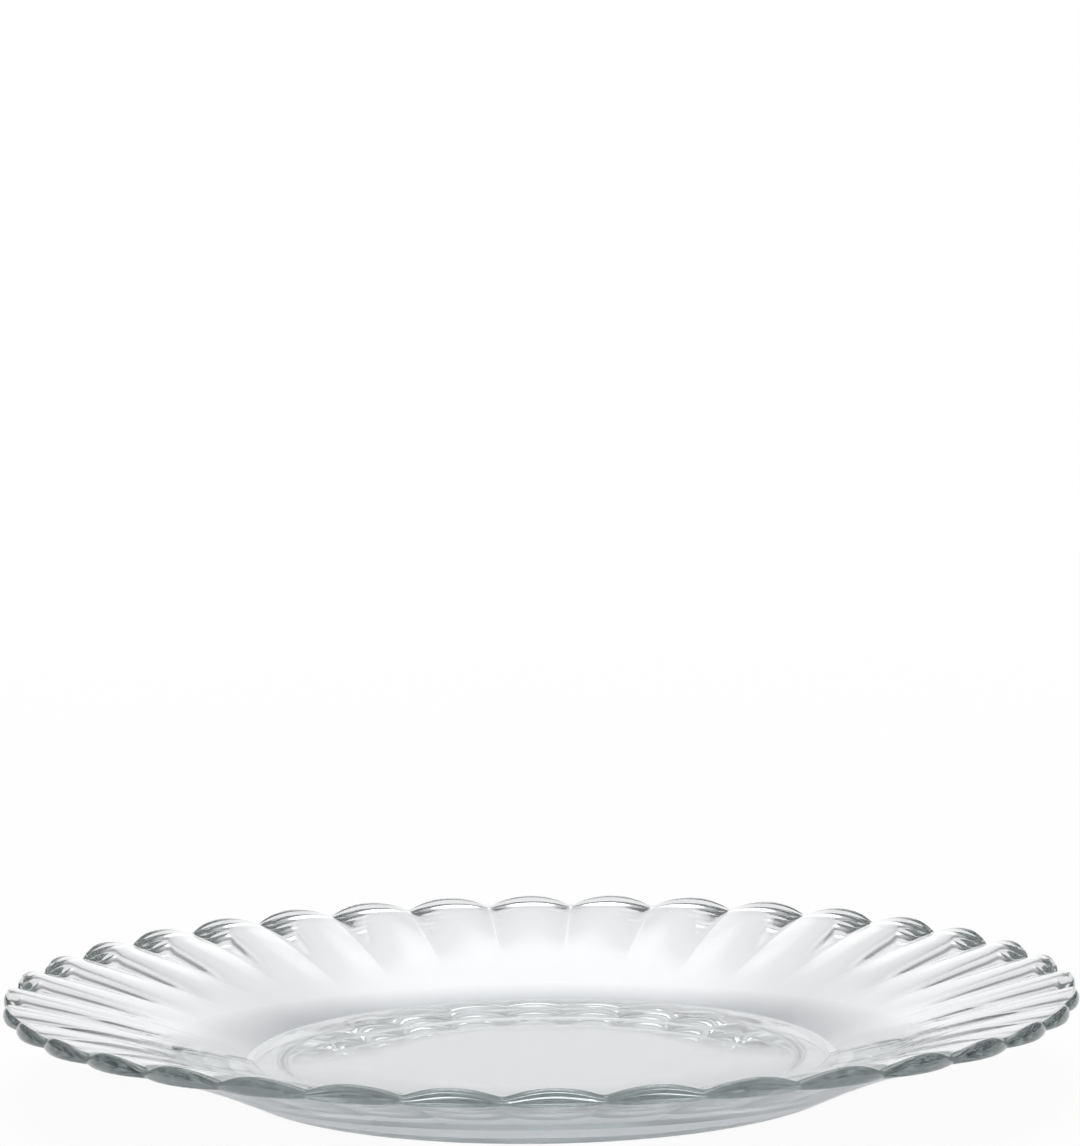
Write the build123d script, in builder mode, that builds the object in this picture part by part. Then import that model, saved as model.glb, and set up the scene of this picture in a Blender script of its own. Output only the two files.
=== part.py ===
from build123d import *
import os
from math import cos, hypot, pi, sin, sqrt, tan

os.makedirs("parts", exist_ok=True)

# A pressed glass dessert plate in one piece, in millimetres. The foot stands on Z = 0, +Z is up,
# the plate's axis is the Z axis, and one petal points along +X.

# Overall sizes
PLATE_DIAMETER = 205.0  # over the tips of opposite petals
PLATE_HEIGHT = 19.1  # from the table to the petal crests at the rim

# Well and foot
WELL_DIAMETER = 110.0  # flat floor that the food sits on
WELL_CORNER = 3.0  # cove between the floor and the wall
FLOOR_THICKNESS = 4.55  # glass between the well and the hollow under it
FOOT_DIAMETER = 116.0  # outer edge of the foot ring
FOOT_WIDTH = 8.0  # the ring's flat width
FOOT_HEIGHT = 0.8  # depth of the hollow inside the ring
FOOT_ROUND = 0.5  # rounding of the ring's two edges

# Wall and rim
WALL_BULGE = 0.8  # how far the upper face arches over a straight line from well to rim
UNDERSIDE_BULGE = 1.2  # the same for the lower face, from foot to rim
RIM_THICKNESS = 1.7  # glass in the notch between two petals
EDGE_ROUND = 1.2  # rounding of the petal tips, above and below

# Petals
PETAL_COUNT = 36
PETAL_RISE = 1.85  # crest above the creases, at the rim
SCALLOP_DEPTH = 1.85  # how far a petal tip stands out past the notches beside it
FLUTE_DIAMETER = 144.0  # where the petals die out into the smooth wall
CREASE_STEP = 0.03  # how far the creases lie under the smooth wall

# Working sizes
OVERLAP = 4.0  # how far tools and blanks run past what they shape
WING = 1.2  # petal blanks are made this many times a sector wide, and then trimmed to it
PETAL_SECTIONS = 6  # cross-sections along a petal blank

tip_radius = PLATE_DIAMETER / 2
notch_radius = tip_radius - SCALLOP_DEPTH
flute_radius = FLUTE_DIAMETER / 2
well_radius = WELL_DIAMETER / 2
foot_radius = FOOT_DIAMETER / 2
foot_inner_radius = foot_radius - FOOT_WIDTH
half_sector = pi / PETAL_COUNT

floor_height = FOOT_HEIGHT + FLOOR_THICKNESS
crease_height = PLATE_HEIGHT - PETAL_RISE
under_height = crease_height - RIM_THICKNESS


def arch(start, end, bulge):
    """The height of an arc from start to end at a radius, as a function of that radius."""
    chord = hypot(end[0] - start[0], end[1] - start[1])
    radius = (chord**2 / 4 + bulge**2) / (2 * bulge)
    run = (end[0] - start[0]) / chord
    climb = (end[1] - start[1]) / chord
    centre_x = (start[0] + end[0]) / 2 + climb * (radius - bulge)
    centre_z = (start[1] + end[1]) / 2 - run * (radius - bulge)
    return lambda r: centre_z + sqrt(radius**2 - (r - centre_x) ** 2)


wall_top = arch((well_radius, floor_height), (notch_radius, crease_height), WALL_BULGE)
wall_under = arch((foot_radius, 0), (notch_radius, under_height), UNDERSIDE_BULGE)

# One petal: a blank that is arched across its width, deeper than the glass, with a round tip, and
# trimmed to its sector so that neighbours meet in a crease
blank_start = flute_radius - OVERLAP
blank_end = tip_radius + OVERLAP
blank_floor = -OVERLAP
tip_half_width = notch_radius * sin(half_sector)
tip_sagitta = tip_radius - notch_radius * cos(half_sector)
tip_arc_radius = (tip_half_width**2 + tip_sagitta**2) / (2 * tip_sagitta)
tip_centre = tip_radius - tip_arc_radius
sector_end = blank_end + OVERLAP
sector_half_width = sector_end * tan(half_sector)

with BuildPart() as petal:
    for station in range(PETAL_SECTIONS):
        x = blank_start + (blank_end - blank_start) * station / (PETAL_SECTIONS - 1)
        share = (x - flute_radius) / (tip_radius - flute_radius)
        crest = wall_top(x) + PETAL_RISE * share
        crease = wall_top(x / cos(half_sector)) + PETAL_RISE * min(share, 0) - CREASE_STEP
        wing = WING * x * tan(half_sector)
        wing_height = crest - WING**2 * (crest - crease)
        with BuildSketch(Plane(origin=(x, 0, 0), x_dir=(0, 1, 0), z_dir=(1, 0, 0))):
            with BuildLine():
                ThreePointArc((-wing, wing_height), (0, crest), (wing, wing_height))
                Polyline((wing, wing_height), (wing, blank_floor), (-wing, blank_floor), (-wing, wing_height))
            make_face()
    loft()
    with BuildSketch(Plane.XY.offset(blank_floor)):
        with Locations((tip_centre, 0)):
            Rectangle(tip_arc_radius + 2 * OVERLAP, 4 * tip_arc_radius, align=(Align.MIN, Align.CENTER))
            Circle(tip_arc_radius, mode=Mode.SUBTRACT)
    extrude(amount=2 * PLATE_HEIGHT, mode=Mode.SUBTRACT)
    tip_face = petal.faces().filter_by(GeomType.CYLINDER).sort_by(Axis.X)[-1]
    fillet(tip_face.edges().sort_by(Axis.Z)[-1], EDGE_ROUND)
    with BuildSketch(Plane.XY.offset(blank_floor)):
        with BuildLine():
            Polyline((0, 0), (sector_end, sector_half_width), (sector_end, -sector_half_width), close=True)
        make_face()
    extrude(amount=2 * PLATE_HEIGHT, mode=Mode.INTERSECT)

# The plate: a smooth dish turned about the axis, which tucks under the petals round it, and one turned
# underside for both
shoulder_radius = flute_radius - OVERLAP / 2
dish_floor = 2 * blank_floor
lip_radius = tip_radius + EDGE_ROUND / 2
lip_height = under_height + EDGE_ROUND

with BuildPart() as plate:
    with BuildSketch(Plane.XZ) as dish:
        with BuildLine():
            shoulder = (shoulder_radius, wall_top(shoulder_radius))
            tuck_end = (flute_radius + OVERLAP, wall_top(flute_radius))
            wall_middle = (well_radius + shoulder_radius) / 2
            Line((0, floor_height), (well_radius, floor_height))
            wall = ThreePointArc((well_radius, floor_height), (wall_middle, wall_top(wall_middle)), shoulder)
            TangentArc(shoulder, tuck_end, tangent=wall % 1)
            Polyline(tuck_end, (flute_radius + OVERLAP, dish_floor), (0, dish_floor), (0, floor_height))
        make_face()
        fillet(dish.vertices().sort_by_distance((well_radius, 0, floor_height))[0], WELL_CORNER)
    revolve(axis=Axis.Z)

    with PolarLocations(0, PETAL_COUNT):
        add(petal.part)

    with BuildSketch(Plane.XZ) as hollow:
        with BuildLine():
            under_middle = (foot_radius + notch_radius) / 2
            Polyline(
                (0, FOOT_HEIGHT),
                (foot_inner_radius - FOOT_HEIGHT, FOOT_HEIGHT),
                (foot_inner_radius, 0),
                (foot_radius, 0),
            )
            under = ThreePointArc(
                (foot_radius, 0), (under_middle, wall_under(under_middle)), (notch_radius, under_height)
            )
            TangentArc((notch_radius, under_height), (lip_radius, lip_height), tangent=under % 1)
            Polyline(
                (lip_radius, lip_height),
                (blank_end + OVERLAP, lip_height),
                (blank_end + OVERLAP, 2 * dish_floor),
                (0, 2 * dish_floor),
                (0, FOOT_HEIGHT),
            )
        make_face()
        fillet(hollow.vertices().sort_by_distance((foot_radius, 0, 0))[0], FOOT_ROUND)
        fillet(hollow.vertices().sort_by_distance((foot_inner_radius, 0, 0))[0], FOOT_ROUND)
    revolve(axis=Axis.Z, mode=Mode.SUBTRACT)

plate.part.label = "plate"
export_step(plate.part, "parts/plate.step")
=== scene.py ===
import math

import bpy
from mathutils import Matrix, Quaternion, Vector


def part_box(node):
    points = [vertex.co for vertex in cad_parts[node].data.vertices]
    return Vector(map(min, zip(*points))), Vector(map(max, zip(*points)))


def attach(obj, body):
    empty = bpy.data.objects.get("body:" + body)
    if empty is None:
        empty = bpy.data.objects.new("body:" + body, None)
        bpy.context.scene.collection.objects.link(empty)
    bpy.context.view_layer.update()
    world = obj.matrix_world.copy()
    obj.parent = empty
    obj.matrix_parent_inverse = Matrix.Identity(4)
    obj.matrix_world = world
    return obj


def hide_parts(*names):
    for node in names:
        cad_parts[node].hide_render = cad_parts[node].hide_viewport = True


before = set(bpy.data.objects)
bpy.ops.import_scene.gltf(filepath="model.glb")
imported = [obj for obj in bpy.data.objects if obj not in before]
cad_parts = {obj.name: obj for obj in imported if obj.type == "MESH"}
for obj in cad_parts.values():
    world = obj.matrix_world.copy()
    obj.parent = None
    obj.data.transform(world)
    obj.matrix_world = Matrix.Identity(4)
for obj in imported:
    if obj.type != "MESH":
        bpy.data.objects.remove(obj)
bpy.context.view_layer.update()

# The plate is one piece of clear glass, pressed hot between a turned mould and a petalled plunger and then
# fire-polished, so its edges are soft. It stands on its own foot ring, and nothing is fixed to it.
low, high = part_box("plate")
tip_radius = (high.x - low.x) / 2
crest_height = high.z - low.z
well_radius = 0.055
well_corner = 0.003
floor_thickness = 0.00455
foot_radius = 0.058
foot_width = 0.008
foot_hollow = 0.0008
foot_round = 0.0005
wall_bulge = 0.0008
under_bulge = 0.0012
rim_thickness = 0.0017
edge_round = 0.0012
edge_lead = 0.00008
petal_count = 36
petal_rise = 0.00185
petal_start = 0.12
scallop_depth = 0.00185
flute_radius = 0.072
flute_blend = 0.004
crease_round = 0.0003
crease_crowding = 1.6

half_sector = math.pi / petal_count
notch_radius = tip_radius - scallop_depth
foot_inner = foot_radius - foot_width
floor_height = foot_hollow + floor_thickness
crease_height = crest_height - edge_lead - petal_rise
under_height = crease_height - rim_thickness


def arch(start, end, bulge):
    """The height at a radius of an arc from start to end that stands bulge over its chord."""
    chord = math.dist(start, end)
    radius = (chord**2 / 4 + bulge**2) / (2 * bulge)
    run = (end[0] - start[0]) / chord
    climb = (end[1] - start[1]) / chord
    centre_r = (start[0] + end[0]) / 2 + climb * (radius - bulge)
    centre_z = (start[1] + end[1]) / 2 - run * (radius - bulge)
    return lambda r: centre_z + math.sqrt(radius**2 - (r - centre_r) ** 2)


def stretch(start, end, steps):
    """Evenly spaced values after start, up to end."""
    return [start + (end - start) * k / steps for k in range(1, steps + 1)]


wall_top = arch((well_radius, floor_height), (notch_radius, crease_height), wall_bulge)
wall_under = arch((foot_radius, 0), (notch_radius, under_height), under_bulge)

# Half of the plate's section, from the axis over the well, wall and rim, and back under them to the axis
cove_steps = 6
wall_steps = 5
petal_rows = 32
nose_steps = 24
under_steps = 10
foot_steps = 4
hollow_slope = ((1, 0), (0, 1 / 6), (-1 / 2, 1 / 2), (-1, 5 / 6), (-2, 1))
profile = [(0, floor_height), (well_radius / 2, floor_height)]
cove_turn = math.atan2(wall_top(well_radius + well_corner) - floor_height, well_corner)
cove_start = well_radius - well_corner * math.tan(cove_turn / 2)
for turn in [0] + stretch(0, cove_turn, cove_steps):
    rise = well_corner * (1 - math.cos(turn))
    profile.append((cove_start + well_corner * math.sin(turn), floor_height + rise))
petals_from = flute_radius - flute_blend
nose_start = tip_radius - edge_round
for r in stretch(profile[-1][0], petals_from, wall_steps) + stretch(petals_from, nose_start, petal_rows):
    profile.append((r, wall_top(r)))
nose_middle = (wall_top(nose_start) + wall_under(nose_start)) / 2
nose_half = (wall_top(nose_start) - wall_under(nose_start)) / 2
for turn in stretch(math.pi / 2, -math.pi / 2, nose_steps)[:-1]:
    profile.append((nose_start + edge_round * math.cos(turn), nose_middle + nose_half * math.sin(turn)))
foot_turn = math.atan2(wall_under(foot_radius + foot_round) - wall_under(foot_radius), foot_round)
foot_trim = foot_round * math.tan(foot_turn / 2)
for r in [nose_start] + stretch(nose_start, foot_radius + foot_trim * math.cos(foot_turn), under_steps):
    profile.append((r, wall_under(r)))
for turn in stretch(foot_turn, 0, foot_steps):
    profile.append((foot_radius - foot_trim + foot_round * math.sin(turn), foot_round * (1 - math.cos(turn))))
for out, up in hollow_slope:
    profile.append((foot_inner + out * foot_hollow, up * foot_hollow))
profile += [(well_radius / 2, foot_hollow), (0, foot_hollow)]

# A slice of the plate, one petal wide, turned from that section
slice_steps = 20
bpy.ops.object.select_all(action="DESELECT")
bpy.ops.mesh.primitive_plane_add(size=foot_width)
plate = bpy.context.object
plate.name = "glass_plate"
bpy.ops.object.mode_set(mode="EDIT")
bpy.ops.mesh.merge(type="CENTER")
bpy.ops.transform.translate(value=(0, 0, floor_height))
for before, after in zip(profile, profile[1:]):
    step = (after[0] - before[0], 0, after[1] - before[1])
    bpy.ops.mesh.extrude_region_move(TRANSFORM_OT_translate={"value": step})
bpy.ops.mesh.select_all(action="SELECT")
bpy.ops.mesh.spin(steps=slice_steps, angle=2 * half_sector, center=(0, 0, 0), axis=(0, 0, -1))
bpy.ops.object.mode_set(mode="OBJECT")

# The slice's petal arches up between two creases, more and more towards its round tip
tip_half_width = notch_radius * math.sin(half_sector)
tip_sagitta = tip_radius - notch_radius * math.cos(half_sector)
tip_arc = (tip_half_width**2 + tip_sagitta**2) / (2 * tip_sagitta)
tip_centre = tip_radius - tip_arc
full_crown = math.hypot(petal_rise, crease_round) - crease_round
for vertex in plate.data.vertices:
    x, y, z = vertex.co
    r = math.hypot(x, y)
    side = math.atan2(y, x) / half_sector - 1
    side = math.copysign(1 - max(1 - abs(side), 0) ** crease_crowding, side)
    angle = side * half_sector
    if r > petals_from:
        share = (r - flute_radius) / (tip_radius - flute_radius)
        swell = share if share > petal_start else max(share + petal_start, 0) ** 2 / (4 * petal_start)
        depth = min(max((z - wall_under(r)) / (wall_top(r) - wall_under(r)), 0), 1)
        crown = math.hypot(petal_rise * (1 - side**2), crease_round) - crease_round
        z += depth * swell * crown * petal_rise / full_crown
        edge = tip_centre * math.cos(angle) + math.sqrt(tip_arc**2 - (tip_centre * math.sin(angle)) ** 2)
        r += (edge - tip_radius) * max(share, 0)
    vertex.co = (r * math.cos(angle), r * math.sin(angle), z)

# The other slices are copies round the axis, joined into one skin
other_petals = petal_count - 1
seam_gap = 1e-6
bpy.ops.object.mode_set(mode="EDIT")
bpy.ops.mesh.select_all(action="SELECT")
bpy.ops.mesh.spin(
    steps=other_petals, dupli=True, angle=2 * half_sector * other_petals, center=(0, 0, 0), axis=(0, 0, 1))
bpy.ops.mesh.select_all(action="SELECT")
bpy.ops.mesh.remove_doubles(threshold=seam_gap)
bpy.ops.mesh.normals_make_consistent(inside=False)
bpy.ops.object.mode_set(mode="OBJECT")
bpy.ops.object.shade_smooth()


class Wire:
    """An output of a node tree. Sums and products of wires and numbers add Math nodes to their tree."""

    def __init__(self, tree, socket=None):
        self.tree = tree
        self.socket = socket

    def node(self, kind, settings, sockets, out=0):
        made = self.tree.nodes.new(kind)
        for name, value in settings.items():
            setattr(made, name, value)
        for name, value in sockets.items():
            if isinstance(value, Wire):
                self.tree.links.new(value.socket, made.inputs[name])
            else:
                made.inputs[name].default_value = value
        return Wire(self.tree, made.outputs[out] if made.outputs else None)

    def math(self, operation, first, second):
        return self.node("ShaderNodeMath", {"operation": operation}, {0: first, 1: second})

    def fade(self, start, end, low, high):
        """A smooth change from low to high while this wire goes from start to end."""
        return self.node(
            "ShaderNodeMapRange", {"interpolation_type": "SMOOTHSTEP"},
            {"Value": self, "From Min": start, "From Max": end, "To Min": low, "To Max": high})

    def __add__(self, other):
        return self.math("ADD", self, other)

    def __mul__(self, other):
        return self.math("MULTIPLY", self, other)

    __radd__ = __add__
    __rmul__ = __mul__


def blank_material(name):
    """A new material with an empty node tree."""
    material = bpy.data.materials.new(name)
    material.use_nodes = True
    material.node_tree.nodes.clear()
    return material


# The glass is clear, with a faint grey-green body colour that shows along the edges. Its skin keeps the slow
# waves and the duller patches that pressing and fire-polishing leave, and its rim is a little rubbed by use.
skin_colour = (0.92, 0.93, 0.945, 1)
body_colour = (0.77, 0.8, 0.8, 1)
body_density = 25.0
glass_ior = 1.52
slow_scale = 45.0
quick_scale = 140.0
quick_share = 0.25
wave_height = 0.000004
patch_start = 0.5
patch_full = 0.75
patch_roughness = 0.02
rub_start = 0.0985
rub_full = 0.1005
rub_roughness = 0.05
glass = blank_material("clear_glass")
melt = Wire(glass.node_tree)
place = melt.node("ShaderNodeTexCoord", {}, {}, "Object")
slow_wave = melt.node("ShaderNodeTexNoise", {}, {"Vector": place, "Scale": slow_scale, "Detail": 1.0}, "Fac")
quick_wave = melt.node("ShaderNodeTexNoise", {}, {"Vector": place, "Scale": quick_scale, "Detail": 2.0}, "Fac")
skin = melt.node(
    "ShaderNodeBump", {},
    {"Height": slow_wave + quick_share * quick_wave, "Strength": 1.0, "Distance": wave_height}, "Normal")
patches = quick_wave.fade(patch_start, patch_full, 0, patch_roughness)
level = melt.node("ShaderNodeVectorMath", {"operation": "MULTIPLY"}, {0: place, 1: (1, 1, 0)}, "Vector")
reach = melt.node("ShaderNodeVectorMath", {"operation": "LENGTH"}, {0: level}, "Value")
rub = reach.fade(rub_start, rub_full, 0, rub_roughness)
body = melt.node(
    "ShaderNodeBsdfPrincipled", {},
    {"Base Color": skin_colour, "Roughness": patches + rub, "IOR": glass_ior, "Transmission Weight": 1.0,
     "Normal": skin})
tint = melt.node("ShaderNodeVolumeAbsorption", {}, {"Color": body_colour, "Density": body_density})
melt.node("ShaderNodeOutputMaterial", {}, {"Surface": body, "Volume": tint})
plate.data.materials.append(glass)
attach(plate, "root")
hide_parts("plate")

# The floor is a wide pale sheet that the plate stands on. It shows white in the picture. Behind the glass its
# white is cut back in a disc under the plate, deepest under the well. That disc is painted shade, and through
# it the sheet's real shadow from the lamps shows.
floor_size = 8
floor_gap = 0.0001
sheet_colour = (0.88, 0.9, 0.93, 1)
plain_white = (1, 1, 1, 1)
white_beside = 0.92
beside_radius = 0.15
far_radius = 1.2
# Painted shade behind the glass: the floor's white share under the well and under the rim, and the radius
# where it is full again
white_under_well = 0.1
white_under_rim = 0.9
painted_shade_radius = 0.1
bpy.ops.object.select_all(action="DESELECT")
bpy.ops.mesh.primitive_plane_add(size=floor_size, location=(0, 0, -floor_gap))
floor = bpy.context.object
floor.name = "floor"
bpy.ops.object.transform_apply(location=True, rotation=True, scale=True)
sheet = blank_material("pale_sheet")
pale = Wire(sheet.node_tree)
camera_ray, glossy_ray, transmission_ray = [
    pale.node("ShaderNodeLightPath", {}, {}, kind)
    for kind in ("Is Camera Ray", "Is Glossy Ray", "Is Transmission Ray")]
spot = pale.node("ShaderNodeTexCoord", {}, {}, "Object")
away = pale.node("ShaderNodeVectorMath", {"operation": "LENGTH"}, {0: spot}, "Value")
open_floor = away.fade(beside_radius, far_radius, white_beside, 1)
# Painted shade: seen through the glass, the floor's white share falls from white_under_rim at the rim to
# white_under_well inside the well, so it shows darker there
painted_floor_shade = away.fade(well_radius, painted_shade_radius, white_under_well, white_under_rim)
white = camera_ray * open_floor + (glossy_ray + transmission_ray) * painted_floor_shade
lit = pale.node("ShaderNodeBsdfDiffuse", {}, {"Color": sheet_colour})
plain = pale.node("ShaderNodeEmission", {}, {"Color": plain_white, "Strength": 1.0})
surface = pale.node("ShaderNodeMixShader", {}, {0: white, 1: lit, 2: plain})
pale.node("ShaderNodeOutputMaterial", {}, {"Surface": surface})
floor.data.materials.append(sheet)

# The studio is a plain room. Its wall behind the plate and a strip along the floor are white, its other walls
# are dark, and a wide round softbox shines down from the pale ceiling, a little behind the plate.
dark_wall = 0.08
back_wall_edges = (0.82, 0.97)
strip_edges = (0.08, 0.02)
ceiling_edges = (0.3, 0.8)
ceiling_level = 0.6
softbox_tilt = math.radians(14)
softbox_edges = (0.86, 0.98)
softbox_level = 2.7
world = bpy.data.worlds.new("studio_room")
bpy.context.scene.world = world
world.use_nodes = True
world.node_tree.nodes.clear()
room = Wire(world.node_tree)
way = room.node("ShaderNodeTexCoord", {}, {}, "Generated")
back_way, up_way, softbox_way = [
    room.node("ShaderNodeVectorMath", {"operation": "DOT_PRODUCT"}, {0: way, 1: towards}, "Value")
    for towards in ((0, 1, 0), (0, 0, 1), (0, math.sin(softbox_tilt), math.cos(softbox_tilt)))]
back_wall = back_way.fade(*back_wall_edges, 0, 1 - dark_wall)
strip = up_way.fade(*strip_edges, 0, 1 - dark_wall)
ceiling = up_way.fade(*ceiling_edges, 0, ceiling_level)
softbox = softbox_way.fade(*softbox_edges, 0, softbox_level)
pale_walls = room.math("MAXIMUM", room.math("MAXIMUM", back_wall, strip), ceiling)
shine = room.node(
    "ShaderNodeBackground", {}, {"Color": plain_white, "Strength": dark_wall + pale_walls + softbox})
room.node("ShaderNodeOutputWorld", {}, {"Surface": shine})

# A weak wide lamp hangs over the plate and fills in its shadow on the floor. The glass does not mirror it,
# because the softbox is in the same place.
lamp_height = 1.4
lamp_width = 1.6
lamp_power = 2
lamp = bpy.data.lights.new("fill_lamp", "AREA")
lamp.shape = "DISK"
lamp.size = lamp_width
lamp.energy = lamp_power
lamp_stand = bpy.data.objects.new("fill_lamp", lamp)
bpy.context.collection.objects.link(lamp_stand)
lamp_stand.location = (0, 0, lamp_height)
lamp_stand.visible_glossy = False
lamp_stand.visible_transmission = False

# The camera stands in front, a little above the rim, and looks over the plate at the white behind it. It is
# placed so that the rim's middle and its radius come to the right place and size in the picture.
image_width = 1080
image_height = 1146
rim_centre = Vector((0, 0, 0.0176))
rim_pixel = Vector((535, 988))
pixels_per_radius = 533
distance = 0.86
elevation = math.radians(10.4)
azimuth = math.radians(-1.16)
roll = math.radians(-0.75)
camera = bpy.data.cameras.new("camera")
eye = bpy.data.objects.new("camera", camera)
bpy.context.collection.objects.link(eye)
bpy.context.scene.camera = eye
focus_pixels = pixels_per_radius / tip_radius * distance
camera.sensor_width = 36
camera.lens = focus_pixels * camera.sensor_width / max(image_width, image_height)
right = Vector((math.cos(azimuth), math.sin(azimuth), 0))
back = Vector((math.sin(azimuth), -math.cos(azimuth), math.tan(elevation))).normalized()
up = back.cross(right)
sight = right * (image_width / 2 - rim_pixel.x) + up * (rim_pixel.y - image_height / 2) - back * focus_pixels
eye.location = rim_centre + back * distance
eye.rotation_mode = "QUATERNION"
eye.rotation_quaternion = sight.to_track_quat("-Z", "Y") @ Quaternion((0, 0, 1), roll)

# Light runs to and fro inside the glass many times before it leaves by an edge
cycles = bpy.context.scene.cycles
cycles.max_bounces = 80
cycles.glossy_bounces = 40
cycles.transmission_bounces = 64

bpy.context.scene.view_settings.view_transform = "Standard"
